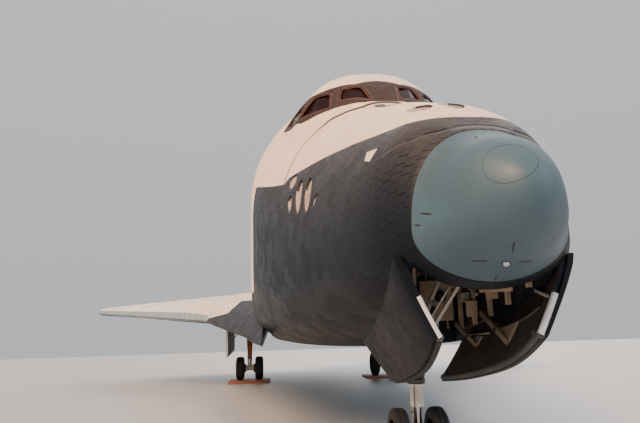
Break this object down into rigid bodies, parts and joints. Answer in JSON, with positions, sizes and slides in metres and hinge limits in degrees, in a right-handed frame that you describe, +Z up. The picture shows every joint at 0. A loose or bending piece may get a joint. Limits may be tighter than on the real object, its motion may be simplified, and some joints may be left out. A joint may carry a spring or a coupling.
{
  "type": "space shuttle orbiter",
  "caption": "Winged spaceplane parked on its landing gear, with hinged control surfaces, payload bay doors and side hatch.",
  "frame": {"origin": "on the floor under the middle of the vehicle's bounding box", "axes": "+Z up, nose towards -Y, starboard wing towards -X; the vehicle leans 4.2 degrees nose down on its gear"},
  "size_m": [23.7896, 36.2222, 17.8597],
  "materials": {
    "white_tile": "matte",
    "white_felt": "matte",
    "black_tile": "satin",
    "nose_cap_carbon": "satin",
    "edge_carbon": "satin",
    "windshield_glass": "gloss",
    "deck_panel": "satin",
    "nozzle_metal": "satin",
    "gear_paint": "satin",
    "wheel_metal": "satin",
    "tyre_rubber": "matte",
    "plate_paint": "satin"
  },
  "bodies": {
    "root": {"nose_cap": "nose_cap_carbon", "forward_thruster_module": "white_tile", "forward_fuselage": "black_tile", "flight_deck": "deck_panel", "mid_fuselage": "white_felt", "aft_fuselage": "white_tile", "main_engine_nozzle_top": "nozzle_metal", "main_engine_nozzle_right": "nozzle_metal", "main_engine_nozzle_left": "nozzle_metal", "fin": "white_tile", "nose_gear_leg": "gear_paint", "window_front_right": "windshield_glass", "window_middle_right": "windshield_glass", "window_side_right": "windshield_glass", "window_overhead_right": "windshield_glass", "orbital_engine_pod_right": "white_tile", "orbital_engine_nozzle_right": "nozzle_metal", "wing_right": "white_tile", "wing_leading_edge_right": "edge_carbon", "nose_gear_door_right": "black_tile", "main_gear_leg_right": "gear_paint", "main_gear_door_right": "black_tile", "wheel_plate_right": "plate_paint", "window_front_left": "windshield_glass", "window_middle_left": "windshield_glass", "window_side_left": "windshield_glass", "window_overhead_left": "windshield_glass", "orbital_engine_pod_left": "white_tile", "orbital_engine_nozzle_left": "nozzle_metal", "wing_left": "white_tile", "wing_leading_edge_left": "edge_carbon", "nose_gear_door_left": "black_tile", "main_gear_leg_left": "gear_paint", "main_gear_door_left": "black_tile", "wheel_plate_left": "plate_paint"},
    "nose_steering": {"nose_gear_steering": "gear_paint"},
    "nose_wheels": {"nose_wheels": "wheel_metal", "nose_tyre_right": "tyre_rubber", "nose_tyre_left": "tyre_rubber"},
    "body_flap": {"body_flap": "black_tile"},
    "rudder": {"rudder_spine": "gear_paint"},
    "side_hatch": {"side_hatch": "black_tile"},
    "main_wheels_right": {"main_wheels_right": "wheel_metal", "main_tyre_inner_right": "tyre_rubber", "main_tyre_outer_right": "tyre_rubber"},
    "elevon_inner_right": {"elevon_inner_right": "white_tile"},
    "elevon_outer_right": {"elevon_outer_right": "white_tile"},
    "rudder_panel_right": {"rudder_panel_right": "white_tile"},
    "payload_bay_door_right": {"payload_bay_door_right": "white_tile"},
    "main_wheels_left": {"main_wheels_left": "wheel_metal", "main_tyre_inner_left": "tyre_rubber", "main_tyre_outer_left": "tyre_rubber"},
    "elevon_inner_left": {"elevon_inner_left": "white_tile"},
    "elevon_outer_left": {"elevon_outer_left": "white_tile"},
    "rudder_panel_left": {"rudder_panel_left": "white_tile"},
    "payload_bay_door_left": {"payload_bay_door_left": "white_tile"}
  },
  "joints": [
    {"name": "nose_steer", "type": "hinge", "parent": "root", "child": "nose_steering", "pos_m": [0, -13.9234, 1.02331], "axis": [0, -0.0732, 0.9973], "range_deg": [-10, 10]},
    {"name": "nose_wheel_spin", "type": "hinge", "parent": "nose_steering", "child": "nose_wheels", "pos_m": [0, -13.87784, 0.40292], "axis": [-1, 0, 0], "continuous": true},
    {"name": "main_wheel_spin_right", "type": "hinge", "parent": "root", "child": "main_wheels_right", "pos_m": [-3.4544, 6.09358, 0.69253], "axis": [-1, 0, 0], "continuous": true},
    {"name": "main_wheel_spin_left", "type": "hinge", "parent": "root", "child": "main_wheels_left", "pos_m": [3.4544, 6.09358, 0.69253], "axis": [-1, 0, 0], "continuous": true},
    {"name": "elevon_inner_right_turn", "type": "hinge", "parent": "root", "child": "elevon_inner_right", "pos_m": [-5.334, 11.14147, 3.74375], "axis": [-0.9994, -0.0026, 0.0355], "range_deg": [-40, 25]},
    {"name": "elevon_outer_right_turn", "type": "hinge", "parent": "root", "child": "elevon_outer_right", "pos_m": [-9.906, 11.12953, 3.90634], "axis": [-0.9994, -0.0026, 0.0355], "range_deg": [-40, 25]},
    {"name": "elevon_inner_left_turn", "type": "hinge", "parent": "root", "child": "elevon_inner_left", "pos_m": [5.334, 11.14147, 3.74375], "axis": [-0.9994, 0.0026, -0.0355], "range_deg": [-40, 25]},
    {"name": "elevon_outer_left_turn", "type": "hinge", "parent": "root", "child": "elevon_outer_left", "pos_m": [9.906, 11.12953, 3.90634], "axis": [-0.9994, 0.0026, -0.0355], "range_deg": [-40, 25]},
    {"name": "body_flap_turn", "type": "hinge", "parent": "root", "child": "body_flap", "pos_m": [0, 14.81001, 4.07569], "axis": [-1, 0, 0], "range_deg": [-11.7, 22.5]},
    {"name": "rudder_turn", "type": "hinge", "parent": "root", "child": "rudder", "pos_m": [0, 12.7781, 10.24264], "axis": [0, 0.4809, 0.8768], "range_deg": [-27.1, 27.1]},
    {"name": "speed_brake_right", "type": "hinge", "parent": "rudder", "child": "rudder_panel_right", "pos_m": [0, 12.7781, 10.24264], "axis": [0, 0.4809, 0.8768], "range_deg": [0, 49.3]},
    {"name": "speed_brake_left", "type": "hinge", "parent": "rudder", "child": "rudder_panel_left", "pos_m": [0, 12.7781, 10.24264], "axis": [0, 0.4809, 0.8768], "range_deg": [-49.3, 0]},
    {"name": "payload_bay_door_right_open", "type": "hinge", "parent": "root", "child": "payload_bay_door_right", "pos_m": [-2.7051, -0.43382, 6.34355], "axis": [0, -0.9973, -0.0732], "range_deg": [0, 175.5]},
    {"name": "payload_bay_door_left_open", "type": "hinge", "parent": "root", "child": "payload_bay_door_left", "pos_m": [2.7051, -0.43382, 6.34355], "axis": [0, 0.9973, 0.0732], "range_deg": [0, 175.5]},
    {"name": "side_hatch_open", "type": "hinge", "parent": "root", "child": "side_hatch", "pos_m": [2.4638, -11.23689, 3.6299], "axis": [0.1411, 0.9873, 0.0725], "range_deg": [0, 90]}
  ],
  "couplings": [
    {"joint": "speed_brake_left", "follows": "speed_brake_right", "ratio": -1}
  ]
}
